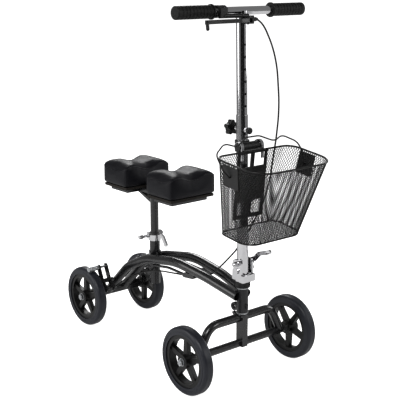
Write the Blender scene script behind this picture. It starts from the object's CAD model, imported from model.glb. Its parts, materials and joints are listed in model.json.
import json
import math

import bmesh
import bpy
import numpy as np
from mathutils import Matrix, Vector
from mathutils.bvhtree import BVHTree


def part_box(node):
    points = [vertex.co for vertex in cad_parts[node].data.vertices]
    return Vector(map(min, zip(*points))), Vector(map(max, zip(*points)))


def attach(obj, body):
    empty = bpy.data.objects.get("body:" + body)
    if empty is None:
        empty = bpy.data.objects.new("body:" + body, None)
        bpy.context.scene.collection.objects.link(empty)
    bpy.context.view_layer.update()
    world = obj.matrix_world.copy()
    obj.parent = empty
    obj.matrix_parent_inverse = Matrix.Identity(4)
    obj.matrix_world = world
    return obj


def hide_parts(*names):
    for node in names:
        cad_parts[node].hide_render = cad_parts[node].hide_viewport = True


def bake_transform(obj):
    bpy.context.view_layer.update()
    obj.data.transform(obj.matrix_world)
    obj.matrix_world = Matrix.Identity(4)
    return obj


# Looks of the steerable knee scooter: wire basket, stuffed pads, brake cable and every finish.
# Metres, +Z up, +X forward, +Y to the rider's left, as the frame has it.

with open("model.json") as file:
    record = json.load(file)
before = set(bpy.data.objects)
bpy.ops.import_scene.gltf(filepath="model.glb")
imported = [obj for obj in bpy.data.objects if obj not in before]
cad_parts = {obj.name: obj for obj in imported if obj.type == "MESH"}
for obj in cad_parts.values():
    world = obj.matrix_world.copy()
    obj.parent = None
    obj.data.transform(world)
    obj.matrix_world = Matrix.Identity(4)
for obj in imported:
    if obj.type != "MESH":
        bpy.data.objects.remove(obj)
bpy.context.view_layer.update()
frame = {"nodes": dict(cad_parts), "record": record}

MM = 0.001
STEER_X = sum(corner.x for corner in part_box("steerer_tube")) / 2


def place(x, y, z):
    """Point given in millimetres from the steering axis, in the frame's metres."""
    return Vector((x * MM + STEER_X, y * MM, z * MM))


# ---------------------------------------------------------------- mesh tools
def add_mesh(name, verts, faces, smooth=True):
    """Makes a mesh object at the origin from computed points and faces."""
    mesh = bpy.data.meshes.new(name)
    mesh.from_pydata([tuple(v) for v in verts], [], [tuple(f) for f in faces])
    mesh.validate()
    mesh.polygons.foreach_set("use_smooth", [smooth] * len(mesh.polygons))
    made = bpy.data.objects.new(name, mesh)
    bpy.context.scene.collection.objects.link(made)
    return made


def tube_arrays(path, radius, sides, closed=False):
    """Rings of a round wire: p(i) + r (cos a u + sin a v), with u, v carried along the path."""
    path = np.asarray(path, float)
    step = np.roll(path, -1, 0) - np.roll(path, 1, 0)
    if not closed:
        step[0] = path[1] - path[0]
        step[-1] = path[-1] - path[-2]
    step /= np.linalg.norm(step, axis=1)[:, None]
    side = np.cross(step[0], (0.31, 0.52, 0.79))
    rings = []
    angles = np.arange(sides) * 2 * math.pi / sides
    for point, along in zip(path, step):
        side = side - along * (side @ along)
        side /= np.linalg.norm(side)
        other = np.cross(along, side)
        spread = np.outer(np.cos(angles), side) + np.outer(np.sin(angles), other)
        rings.append(point + radius * spread)
    count = len(path)
    faces = []
    for i in range(count if closed else count - 1):
        j = (i + 1) % count
        for k in range(sides):
            m = (k + 1) % sides
            faces.append((i * sides + k, i * sides + m, j * sides + m, j * sides + k))
    if not closed:
        faces.append(tuple(range(sides))[::-1])
        faces.append(tuple((count - 1) * sides + k for k in range(sides)))
    return np.concatenate(rings), faces


def wires(name, paths, radius, sides=4, closed=False):
    """One object from many wires of the same thickness."""
    verts, faces, base = [], [], 0
    for path in paths:
        if len(path) < 2:
            continue
        points, quads = tube_arrays(path, radius, sides, closed)
        verts.append(points)
        faces += [tuple(base + i for i in face) for face in quads]
        base += len(points)
    return add_mesh(name, np.concatenate(verts), faces)


def rounded_run(points, radii, step=0.004):
    """Straight runs joined by arcs of the given radii, as close points."""
    points = [Vector(p) for p in points]
    out = [points[0]]
    for index, radius in enumerate(radii, 1):
        corner = points[index]
        back = (points[index - 1] - corner).normalized()
        ahead = (points[index + 1] - corner).normalized()
        half = back.angle(ahead) / 2
        reach = radius / math.tan(half)
        centre = corner + (back + ahead).normalized() * (radius / math.sin(half))
        first = corner + back * reach - centre
        last = corner + ahead * reach - centre
        turn = first.angle(last)
        count = max(3, int(turn * radius / step))
        for i in range(count + 1):
            s = i / count
            mix = first * math.sin((1 - s) * turn) + last * math.sin(s * turn)
            out.append(centre + mix / math.sin(turn))
    out.append(points[-1])
    dense = [out[0]]
    for point in out[1:]:
        gap = point - dense[-1]
        count = max(1, int(gap.length / (3 * step)))
        start = dense[-1].copy()
        dense += [start + gap * (i + 1) / count for i in range(count)]
    return dense


# ---------------------------------------------------------------- finish groups
def new_group(name, inputs, outputs):
    """Empty shader group with the named sockets: (name, kind, value)."""
    tree = bpy.data.node_groups.new(name, "ShaderNodeTree")
    for label, kind, value in inputs:
        socket = tree.interface.new_socket(label, in_out="INPUT", socket_type="NodeSocket" + kind)
        if value is not None:
            socket.default_value = value
    for label, kind in outputs:
        tree.interface.new_socket(label, in_out="OUTPUT", socket_type="NodeSocket" + kind)
    return tree, tree.nodes.new("NodeGroupInput"), tree.nodes.new("NodeGroupOutput")


def noise(tree, scale, detail=4.0):
    """Noise texture read on Object coordinates."""
    where = tree.nodes.new("ShaderNodeTexCoord")
    made = tree.nodes.new("ShaderNodeTexNoise")
    made.inputs["Detail"].default_value = detail
    tree.links.new(where.outputs["Object"], made.inputs["Vector"])
    tree.links.new(scale, made.inputs["Scale"])
    return made


def blotch_group():
    """Slow cloudy change between two colours, and the same cloud as a roughness."""
    tree, given, out = new_group(
        "CloudyTone",
        [("Scale", "Float", 12.0), ("Tone A", "Color", None), ("Tone B", "Color", None),
         ("Rough A", "Float", 0.4), ("Rough B", "Float", 0.5)],
        [("Color", "Color"), ("Roughness", "Float")],
    )
    cloud = noise(tree, given.outputs["Scale"], 6.0)
    mix = tree.nodes.new("ShaderNodeMix")
    mix.data_type = "RGBA"
    tree.links.new(cloud.outputs["Fac"], mix.inputs["Factor"])
    # the RGBA pair of sockets on a Mix node are the seventh and eighth
    tree.links.new(given.outputs["Tone A"], mix.inputs[6])
    tree.links.new(given.outputs["Tone B"], mix.inputs[7])
    rough = tree.nodes.new("ShaderNodeMapRange")
    tree.links.new(cloud.outputs["Fac"], rough.inputs["Value"])
    tree.links.new(given.outputs["Rough A"], rough.inputs["To Min"])
    tree.links.new(given.outputs["Rough B"], rough.inputs["To Max"])
    tree.links.new(mix.outputs[2], out.inputs["Color"])
    tree.links.new(rough.outputs["Result"], out.inputs["Roughness"])
    return tree


def grain_group(name, pebbled):
    """Fine relief as a normal: pebbled like vinyl, or sandy like moulded plastic."""
    tree, given, out = new_group(
        name,
        [("Scale", "Float", 900.0), ("Strength", "Float", 0.2), ("Depth", "Float", 0.0002)],
        [("Normal", "Vector")],
    )
    if pebbled:
        where = tree.nodes.new("ShaderNodeTexCoord")
        cells = tree.nodes.new("ShaderNodeTexVoronoi")
        cells.feature = "SMOOTH_F1"
        tree.links.new(where.outputs["Object"], cells.inputs["Vector"])
        tree.links.new(given.outputs["Scale"], cells.inputs["Scale"])
        height = cells.outputs["Distance"]
    else:
        height = noise(tree, given.outputs["Scale"], 3.0).outputs["Fac"]
    bump = tree.nodes.new("ShaderNodeBump")
    tree.links.new(given.outputs["Strength"], bump.inputs["Strength"])
    tree.links.new(given.outputs["Depth"], bump.inputs["Distance"])
    tree.links.new(height, bump.inputs["Height"])
    tree.links.new(bump.outputs["Normal"], out.inputs["Normal"])
    return tree


CLOUD = blotch_group()
SANDY = grain_group("SandyGrain", False)
PEBBLE = grain_group("PebbledVinyl", True)


def finish(name, tone_a, tone_b, rough, cloud=12.0, grain=None, metallic=0.0, coat=0.0, specular=0.5):
    """Material with a cloudy tone, a roughness range, and an optional (group, scale, strength, depth)."""
    made = bpy.data.materials.new(name)
    made.use_nodes = True
    tree = made.node_tree
    skin = tree.nodes["Principled BSDF"]
    tone = tree.nodes.new("ShaderNodeGroup")
    tone.node_tree = CLOUD
    tone.inputs["Scale"].default_value = cloud
    tone.inputs["Tone A"].default_value = (*tone_a, 1)
    tone.inputs["Tone B"].default_value = (*tone_b, 1)
    tone.inputs["Rough A"].default_value = rough[0]
    tone.inputs["Rough B"].default_value = rough[1]
    tree.links.new(tone.outputs["Color"], skin.inputs["Base Color"])
    tree.links.new(tone.outputs["Roughness"], skin.inputs["Roughness"])
    if grain:
        relief = tree.nodes.new("ShaderNodeGroup")
        relief.node_tree = grain[0]
        for label, value in zip(("Scale", "Strength", "Depth"), grain[1:]):
            relief.inputs[label].default_value = value
        tree.links.new(relief.outputs["Normal"], skin.inputs["Normal"])
    skin.inputs["Metallic"].default_value = metallic
    skin.inputs["Coat Weight"].default_value = coat
    skin.inputs["Coat Roughness"].default_value = 0.08
    skin.inputs["Specular IOR Level"].default_value = specular
    return made


MATERIALS = {
    "frame_paint": finish("frame_paint", (0.006, 0.006, 0.007), (0.014, 0.014, 0.015), (0.22, 0.32),
                          30, (SANDY, 2600, 0.06, 0.0001), 0.0, 0.4),
    "head_paint": finish("head_paint", (0.012, 0.012, 0.013), (0.024, 0.024, 0.026), (0.28, 0.4),
                         25, (SANDY, 2200, 0.08, 0.0001), 0.3, 0.2),
    "chrome": finish("chrome", (0.50, 0.50, 0.51), (0.62, 0.62, 0.63), (0.06, 0.14), 18, None, 1.0),
    "steel": finish("steel", (0.36, 0.37, 0.38), (0.48, 0.49, 0.5), (0.26, 0.4),
                    60, (SANDY, 1500, 0.08, 0.0001), 1.0),
    "black_plastic": finish("black_plastic", (0.006, 0.006, 0.006), (0.012, 0.012, 0.012), (0.34, 0.48),
                            40, (SANDY, 1800, 0.2, 0.0002), specular=0.4),
    "wheel_plastic": finish("wheel_plastic", (0.005, 0.005, 0.005), (0.010, 0.010, 0.010), (0.34, 0.46),
                            22, (SANDY, 1400, 0.15, 0.0002), specular=0.4),
    "tyre": finish("tyre", (0.011, 0.012, 0.017), (0.020, 0.022, 0.030), (0.34, 0.5),
                   16, (SANDY, 900, 0.25, 0.0003), specular=0.45),
    "pad_vinyl": finish("pad_vinyl", (0.004, 0.004, 0.006), (0.008, 0.008, 0.011), (0.38, 0.5),
                        14, (PEBBLE, 620, 0.35, 0.0004), specular=0.25),
    "pad_board": finish("pad_board", (0.012, 0.010, 0.008), (0.022, 0.018, 0.015), (0.6, 0.8),
                        40, (SANDY, 500, 0.2, 0.0003), specular=0.3),
    "grip_foam": finish("grip_foam", (0.006, 0.006, 0.006), (0.012, 0.012, 0.012), (0.5, 0.66),
                        30, (SANDY, 1100, 0.5, 0.0005), specular=0.3),
    "basket_wire": finish("basket_wire", (0.004, 0.004, 0.004), (0.009, 0.009, 0.009), (0.3, 0.42),
                          50, (SANDY, 2000, 0.1, 0.0001), specular=0.35),
    "cable": finish("cable", (0.006, 0.006, 0.006), (0.010, 0.010, 0.010), (0.32, 0.42),
                    40, (SANDY, 1200, 0.1, 0.0001), specular=0.4),
}


def dress_frame():
    """Every CAD node takes the finish of its material slot."""
    for entry in frame["record"]["subparts"]:
        node = frame["nodes"][entry["node"]]
        if not node.material_slots:
            node.data.materials.append(None)
        for slot in node.material_slots:
            slot.material = MATERIALS[entry["material_slot"]]


# ---------------------------------------------------------------- pads
PAD_INSET = 5.0
PAD_DIP, PAD_PEAK, PAD_EDGE = 539.0, 552.0, 537.0
PAD_PEAK_Y, PAD_HALF_Y = 60.0, 90.0
PAD_CORNER = 12.0
PAD_LIFT = 0.5
WALL_SHARES = (0.0, 0.12, 0.3, 0.5, 0.7, 0.86)
TOP_SHARES = (1.0, 0.97, 0.9, 0.78, 0.62, 0.44, 0.24, 0.02)
SHOULDER = 5.0
EDGE_DROP, CROWN = 9.0, 5.0
VOXEL = 4.5 * MM
PRESSURE = 4.0
SIM_FRAMES = 20
HELD_HEIGHT = 3.0 * MM
SWELL_CAP = 6.5 * MM


def pad_height(y):
    """Saddle height over the floor: 13 sin^2(pi y / 120) between the bolsters, then a round fall."""
    y = abs(y)
    if y <= PAD_PEAK_Y:
        return PAD_DIP + (PAD_PEAK - PAD_DIP) * math.sin(math.pi * y / (2 * PAD_PEAK_Y)) ** 2
    fall = (y - PAD_PEAK_Y) / (PAD_HALF_Y - PAD_PEAK_Y)
    return PAD_PEAK - (PAD_PEAK - PAD_EDGE) * fall**2


def plan_outline(half_x, half_y, corner, per_corner=8, per_side=18):
    """Rounded rectangle in plan, counter-clockwise, as (x, y) pairs."""
    points = []
    corners = [(1, 1, 0), (-1, 1, 90), (-1, -1, 180), (1, -1, 270)]
    for index, (sx, sy, start) in enumerate(corners):
        cx, cy = sx * (half_x - corner), sy * (half_y - corner)
        for i in range(per_corner + 1):
            a = math.radians(start + 90 * i / per_corner)
            points.append((cx + corner * math.cos(a), cy + corner * math.sin(a)))
        nx, ny, following = corners[(index + 1) % 4]
        a = math.radians(following)
        ahead_x = nx * (half_x - corner) + corner * math.cos(a)
        ahead_y = ny * (half_y - corner) + corner * math.sin(a)
        here = points[-1]
        for i in range(1, per_side):
            s = i / per_side
            points.append((here[0] + (ahead_x - here[0]) * s, here[1] + (ahead_y - here[1]) * s))
    return points


def pad_form(name, low, high):
    """Closed pad: rings up the side wall, then rings drawn in to the middle over the saddle."""
    centre = (low.x + high.x) / 2 / MM
    half_x = (high.x - low.x) / 2 / MM - PAD_INSET
    half_y = (high.y - low.y) / 2 / MM - PAD_INSET
    base = low.z / MM + PAD_LIFT
    outline = plan_outline(half_x, half_y, PAD_CORNER)
    middle = TOP_SHARES[-1]
    rings = [[(middle * x, middle * y, base) for x, y in outline]]
    for share in WALL_SHARES:
        rings.append([(x, y, base + share * (pad_height(y) - SHOULDER - base)) for x, y in outline])
    for inward in TOP_SHARES:
        rise = CROWN * (1 - inward**4) - EDGE_DROP
        rings.append([(x * inward, y * inward, pad_height(y * inward) + rise) for x, y in outline])
    count = len(outline)
    verts = [((x + centre) * MM, y * MM, z * MM) for ring in rings for x, y, z in ring]
    faces = [tuple(range(count))[::-1], tuple((len(rings) - 1) * count + k for k in range(count))]
    for i in range(len(rings) - 1):
        for k in range(count):
            m = (k + 1) % count
            faces.append((i * count + k, i * count + m, (i + 1) * count + m, (i + 1) * count + k))
    return add_mesh(name, verts, faces)


def apply_all(obj):
    """Replaces the mesh by its evaluated form and clears the modifiers."""
    evaluated = obj.evaluated_get(bpy.context.evaluated_depsgraph_get())
    fresh = bpy.data.meshes.new_from_object(evaluated)
    obj.modifiers.clear()
    obj.data = fresh


def stuff(obj):
    """Swells the pad by cloth under pressure, with its movement capped and its base held."""
    remesh = obj.modifiers.new("Remesh", "REMESH")
    remesh.mode = "VOXEL"
    remesh.voxel_size = VOXEL
    apply_all(obj)
    count = len(obj.data.vertices)
    before = np.zeros(count * 3)
    obj.data.vertices.foreach_get("co", before)
    before = before.reshape(-1, 3)
    base = before[:, 2].min()
    held = obj.vertex_groups.new(name="held")
    held.add([i for i in range(count) if before[i, 2] < base + HELD_HEIGHT], 1.0, "REPLACE")
    cloth = obj.modifiers.new("Cloth", "CLOTH")
    cloth.settings.quality = 5
    cloth.settings.mass = 0.3
    cloth.settings.tension_stiffness = 15
    cloth.settings.compression_stiffness = 15
    cloth.settings.shear_stiffness = 5
    cloth.settings.bending_stiffness = 0.5
    cloth.settings.use_pressure = True
    cloth.settings.uniform_pressure_force = PRESSURE
    cloth.settings.vertex_group_mass = "held"
    cloth.settings.effector_weights.gravity = 0
    cloth.point_cache.frame_start = 1
    cloth.point_cache.frame_end = SIM_FRAMES
    for step in range(1, SIM_FRAMES + 1):
        bpy.context.scene.frame_set(step)
        bpy.context.view_layer.update()
    evaluated = obj.evaluated_get(bpy.context.evaluated_depsgraph_get())
    after = np.zeros(count * 3)
    evaluated.data.vertices.foreach_get("co", after)
    move = after.reshape(-1, 3) - before
    size = np.linalg.norm(move, axis=1)
    move *= np.minimum(1.0, SWELL_CAP / np.maximum(size, 1e-9))[:, None]
    obj.modifiers.clear()
    obj.vertex_groups.clear()
    obj.data.vertices.foreach_set("co", (before + move).ravel())
    obj.data.update()
    bpy.context.scene.frame_set(1)


def soften(obj):
    """Evens out the remeshed surface and adds one subdivision."""
    relax = obj.modifiers.new("Smooth", "SMOOTH")
    relax.factor = 0.5
    relax.iterations = 6
    finer = obj.modifiers.new("Subdivision", "SUBSURF")
    finer.levels = 1
    finer.render_levels = 1
    apply_all(obj)
    obj.data.polygons.foreach_set("use_smooth", [True] * len(obj.data.polygons))


def surface_of(obj):
    shape = bmesh.new()
    shape.from_mesh(obj.data)
    tree = BVHTree.FromBMesh(shape)
    shape.free()
    return tree


def pad_seams(name, pad, low, high):
    """Piping round the top edge and down the four corners, laid on the stuffed surface."""
    tree = surface_of(pad)
    centre = (low.x + high.x) / 2 / MM
    half_x = (high.x - low.x) / 2 / MM
    half_y = (high.y - low.y) / 2 / MM
    base = low.z / MM
    edge = []
    for x, y in plan_outline(half_x, half_y, PAD_CORNER, 8, 24):
        z = pad_height(y) - 8
        near = tree.find_nearest(Vector(((x + centre) * MM, y * MM, z * MM)))
        edge.append(near[0] + near[1] * 0.2 * MM)
    loop = wires(name + "_edge_piping", [edge], 1.3 * MM, 6, closed=True)
    corners = []
    for sx in (-1, 1):
        for sy in (-1, 1):
            x = centre + sx * (half_x - PAD_CORNER * 0.3)
            y = sy * (half_y - PAD_CORNER * 0.3)
            run = []
            for i in range(13):
                z = base + 2 + (pad_height(y) - 10 - base) * i / 12
                near = tree.find_nearest(Vector((x * MM, y * MM, z * MM)))
                run.append(near[0] + near[1] * 0.1 * MM)
            corners.append(run)
    upright = wires(name + "_corner_seams", corners, 0.9 * MM, 6)
    return loop, upright


def make_pads():
    for node in ("front_pad", "rear_pad"):
        low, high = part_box(node)
        pad = pad_form(node + "_cushion", low, high)
        stuff(pad)
        soften(pad)
        for piece in (pad, *pad_seams(node, pad, low, high)):
            piece.data.materials.clear()
            piece.data.materials.append(MATERIALS["pad_vinyl"])
            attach(piece, "seat")
        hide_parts(node)


# ---------------------------------------------------------------- basket
BASKET_BACK, BASKET_BACK_Z, BASKET_TILT = 36.0, 650.0, math.radians(7.5)
BASKET_DEPTH, BASKET_LENGTH = 212.0, 168.0
BASKET_TOP_HALF, BASKET_LOW_HALF = 140.0, 103.0
BASKET_LOW_BACK, BASKET_LOW_FRONT = 7.0, 121.0
STRANDS = 112
STRAND_STEPS = 26
STRAND_LEAN = 0.18
STRAND_RADIUS = 0.85 * MM
RIM_RADIUS = 2.5 * MM
BASE_RADIUS = 1.9 * MM
FLOOR_PITCH = 9.0
FLOOR_LEAN = 0.82
FLOOR_STEPS = 80
FLOOR_MARGIN = 80.0
ARC_STEPS = 16
SIDE_STEPS = 30


def basket_place(u, y, w):
    """Basket's own millimetres, origin on its rear top edge, into the frame."""
    c, s = math.cos(BASKET_TILT), math.sin(BASKET_TILT)
    return place(BASKET_BACK + u * c + w * s, y, BASKET_BACK_Z - u * s + w * c)


def basket_outline(back, front, half, corner_front, corner_back):
    """Rounded rectangle (u, y), starting at the middle of the back, by arcs and straight runs."""
    points = [(back, 0.0)]
    arcs = [
        (back + corner_back, half - corner_back, corner_back, 180, 90),
        (front - corner_front, half - corner_front, corner_front, 90, 0),
        (front - corner_front, -half + corner_front, corner_front, 0, -90),
        (back + corner_back, -half + corner_back, corner_back, -90, -180),
    ]
    for cu, cy, radius, start, end in arcs:
        first = (cu + radius * math.cos(math.radians(start)), cy + radius * math.sin(math.radians(start)))
        here = points[-1]
        for i in range(1, SIDE_STEPS):
            s = i / SIDE_STEPS
            points.append((here[0] + (first[0] - here[0]) * s, here[1] + (first[1] - here[1]) * s))
        for i in range(ARC_STEPS + 1):
            a = math.radians(start + (end - start) * i / ARC_STEPS)
            points.append((cu + radius * math.cos(a), cy + radius * math.sin(a)))
    here = points[-1]
    for i in range(1, SIDE_STEPS + 1):
        s = i / SIDE_STEPS
        points.append((here[0] + (back - here[0]) * s, here[1] + (0.0 - here[1]) * s))
    return np.array(points)


TOP = basket_outline(0, BASKET_LENGTH, BASKET_TOP_HALF, 58, 34)
LOW = basket_outline(BASKET_LOW_BACK, BASKET_LOW_FRONT, BASKET_LOW_HALF, 40, 24)
RUN = np.concatenate([[0], np.cumsum(np.linalg.norm(np.diff(TOP, axis=0), axis=1))])
RUN /= RUN[-1]


def wall_point(t, k):
    """Ruled wall: (1 - k) top(t) + k low(t), t round the rim and k down the wall."""
    t = t % 1.0
    top = [np.interp(t, RUN, TOP[:, i]) for i in (0, 1)]
    low = [np.interp(t, RUN, LOW[:, i]) for i in (0, 1)]
    return (1 - k) * top[0] + k * low[0], (1 - k) * top[1] + k * low[1], -k * BASKET_DEPTH


def in_open_window(u, y, w):
    """True where the rear mesh is cut out behind the panel's two upper windows."""
    return u < 4 and 6 < abs(y) < 44 and -44 < w < -6


def make_basket():
    """Diamond mesh on the walls and floor, with the rim wire and the floor wire."""
    strands = []
    for lean in (-STRAND_LEAN, STRAND_LEAN):
        for j in range(STRANDS):
            run = []
            for i in range(STRAND_STEPS + 1):
                k = i / STRAND_STEPS
                u, y, w = wall_point(j / STRANDS + lean * k, k)
                if in_open_window(u, y, w):
                    strands.append(run)
                    run = []
                    continue
                run.append(basket_place(u, y, w))
            strands.append(run)
    from_middle = (BASKET_LOW_BACK + BASKET_LOW_FRONT) / 2
    floor_shape = [Vector((u, y)) for u, y in LOW]
    reach = BASKET_LOW_HALF + FLOOR_MARGIN
    for sign in (-1, 1):
        offset = -reach
        while offset < reach:
            run = []
            for i in range(FLOOR_STEPS + 1):
                u = BASKET_LOW_BACK + (BASKET_LOW_FRONT - BASKET_LOW_BACK) * i / FLOOR_STEPS
                y = offset + sign * (u - from_middle) * FLOOR_LEAN
                if inside(u, y, floor_shape):
                    run.append(basket_place(u, y, -BASKET_DEPTH))
            strands.append(run)
            offset += FLOOR_PITCH
    mesh = wires("basket_mesh", strands, STRAND_RADIUS, 4)
    top_loop = [basket_place(u, y, 0) for u, y in TOP[:-1]]
    rim = wires("basket_rim_wire", [top_loop], RIM_RADIUS, 10, closed=True)
    low_loop = [basket_place(u, y, -BASKET_DEPTH + 1) for u, y in LOW[:-1]]
    base = wires("basket_floor_wire", [low_loop], BASE_RADIUS, 8, closed=True)
    for piece in (mesh, rim, base):
        piece.data.materials.append(MATERIALS["basket_wire"])
        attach(piece, "basket")
    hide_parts("basket_tub")
    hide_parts("basket_rim")


def inside(u, y, outline):
    """Even-odd test of a point against the floor's outline."""
    hit = False
    for a, b in zip(outline, outline[1:] + outline[:1]):
        if (a.y > y) != (b.y > y) and u < (b.x - a.x) * (y - a.y) / (b.y - a.y) + a.x:
            hit = not hit
    return hit


# ---------------------------------------------------------------- brake cable
CABLE_RADIUS = 2.4 * MM
JOIN_COLUMN, JOIN_FORK, JOIN_FRAME = (-7, 125, 660), (-38, 6, 355), (-117, -6, 273)
CABLE_RUNS = [
    ("brake_cable_handlebar",
     [(7.5, 33.4, 987), (0, 62, 975), (-5, 118, 890), (-5, 134, 745), JOIN_COLUMN],
     (80, 250, 450), ("handlebar", "column")),
    ("brake_cable_column", [JOIN_COLUMN, (-16, 104, 500), (-24, 34, 398), JOIN_FORK], (280, 350),
     ("column", "fork")),
    ("brake_cable_fork", [JOIN_FORK, (-60, -13, 320), JOIN_FRAME], (120,), ("fork", "frame")),
    ("brake_cable_frame",
     [JOIN_FRAME, (-165, -9, 246), (-390, -27, 222), (-500, -38, 165), (-531, -56.8, 135)],
     (220, 400, 170), ("frame", None)),
]


def make_cable():
    """The cable in one run for each pair of bodies that it crosses."""
    for node, points, radii, (near, far) in CABLE_RUNS:
        path = rounded_run([place(*p) for p in points], [r * MM for r in radii])
        run = wires(node + "_sheath", [path], CABLE_RADIUS, 10)
        run.data.materials.append(MATERIALS["cable"])
        if far:
            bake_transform(run)
        else:
            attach(run, near)
        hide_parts(node)


# ---------------------------------------------------------------- setting
FLOOR_HALF = 2.6
FLOOR_DROP = 0.0005
FLOOR_GLOW = 0.66
CARD_TURN = math.radians(-22)
CARD_DISTANCE, CARD_HALF, CARD_HALF_HEIGHT = 4.2, 3.4, 1.6
LIGHT_AIM = (0.0, 0.0, 0.45)
LIGHTS = [
    ("key", (1.6, -2.4, 2.9), 1.4, 62),
    ("fill", (2.8, 1.2, 1.6), 1.0, 18),
    ("back", (-2.2, 1.4, 2.4), 1.2, 30),
    ("left_wall", (-1.3, -2.8, 1.3), 1.9, 32),
    ("right_wall", (0.7, 3.0, 1.3), 1.5, 20),
]
SEEN_SKY, LIT_SKY = 1.0, 0.26
CAMERA_AT = (1767.4, -1654.0, 1105.5)
CAMERA_AIM = (-205, 0, 450)
FOCAL_LENGTH, SENSOR_WIDTH = 82.85, 36.0
CAMERA_SHIFT = (0.0125, 0.01725)


def flat_finish(name, color, rough):
    made = bpy.data.materials.new(name)
    made.use_nodes = True
    skin = made.node_tree.nodes["Principled BSDF"]
    skin.inputs["Base Color"].default_value = (*color, 1)
    skin.inputs["Roughness"].default_value = rough
    return made


def sheet_of(name, centre, side, up, color, rough=0.6):
    """Flat card spanned by two half-edges, for the floor and the reflections."""
    c, a, b = Vector(centre), Vector(side), Vector(up)
    card = add_mesh(name, [c - a - b, c + a - b, c + a + b, c - a + b], [(0, 1, 2, 3)], False)
    card.data.materials.append(flat_finish(name, color, rough))
    return card


def area_light(name, at, size, power):
    """Square soft light turned towards the middle of the scooter."""
    lamp = bpy.data.lights.new(name, "AREA")
    lamp.shape = "SQUARE"
    lamp.size = size
    lamp.energy = power
    made = bpy.data.objects.new(name, lamp)
    made.location = at
    made.rotation_euler = (Vector(LIGHT_AIM) - Vector(at)).to_track_quat("-Z", "Y").to_euler()
    bpy.context.scene.collection.objects.link(made)


def make_floor():
    """Pale floor that glows for the camera alone, so the chrome doesn't wash out in it."""
    side, up = (FLOOR_HALF, 0, 0), (0, FLOOR_HALF, 0)
    floor = sheet_of("floor", (0, 0, -FLOOR_DROP), side, up, (0.93, 0.93, 0.93), 0.9)
    ground = floor.data.materials[0].node_tree
    skin = ground.nodes["Principled BSDF"]
    skin.inputs["Specular IOR Level"].default_value = 0.0
    skin.inputs["Emission Color"].default_value = (1, 1, 1, 1)
    direct = ground.nodes.new("ShaderNodeLightPath")
    glow = ground.nodes.new("ShaderNodeMath")
    glow.operation = "MULTIPLY"
    glow.inputs[1].default_value = FLOOR_GLOW
    ground.links.new(direct.outputs["Is Camera Ray"], glow.inputs[0])
    ground.links.new(glow.outputs["Value"], skin.inputs["Emission Strength"])


def make_dark_card():
    """Dark wall behind the camera, for the dark band down the chrome tubes."""
    ahead = Vector((math.cos(CARD_TURN), math.sin(CARD_TURN), 0))
    across = Vector((-math.sin(CARD_TURN), math.cos(CARD_TURN), 0))
    rise = Vector((0, 0, CARD_HALF_HEIGHT))
    sheet_of("dark_card", ahead * CARD_DISTANCE + rise, across * CARD_HALF, rise, (0.01, 0.01, 0.01))


def make_sky():
    """White where the camera sees it, and dimmer as a light."""
    world = bpy.context.scene.world or bpy.data.worlds.new("world")
    bpy.context.scene.world = world
    world.use_nodes = True
    tree = world.node_tree
    seen = tree.nodes["Background"]
    soft = tree.nodes.new("ShaderNodeBackground")
    for sky, strength in ((seen, SEEN_SKY), (soft, LIT_SKY)):
        sky.inputs["Color"].default_value = (1, 1, 1, 1)
        sky.inputs["Strength"].default_value = strength
    path = tree.nodes.new("ShaderNodeLightPath")
    pick = tree.nodes.new("ShaderNodeMixShader")
    tree.links.new(path.outputs["Is Camera Ray"], pick.inputs[0])
    tree.links.new(soft.outputs["Background"], pick.inputs[1])
    tree.links.new(seen.outputs["Background"], pick.inputs[2])
    tree.links.new(pick.outputs["Shader"], tree.nodes["World Output"].inputs["Surface"])


def make_setting():
    make_floor()
    make_dark_card()
    for name, at, size, power in LIGHTS:
        area_light(name, at, size, power)
    make_sky()
    bpy.context.scene.view_settings.view_transform = "Standard"
    bpy.context.scene.view_settings.look = "Medium High Contrast"


def make_camera():
    lens = bpy.data.cameras.new("camera")
    lens.lens = FOCAL_LENGTH
    lens.sensor_width = SENSOR_WIDTH
    lens.shift_x, lens.shift_y = CAMERA_SHIFT
    lens.clip_end = 50
    made = bpy.data.objects.new("camera", lens)
    made.location = place(*CAMERA_AT)
    toward = place(*CAMERA_AIM) - made.location
    made.rotation_euler = toward.to_track_quat("-Z", "Y").to_euler()
    bpy.context.scene.collection.objects.link(made)
    bpy.context.scene.camera = made


dress_frame()
make_pads()
make_basket()
make_cable()
make_setting()
make_camera()
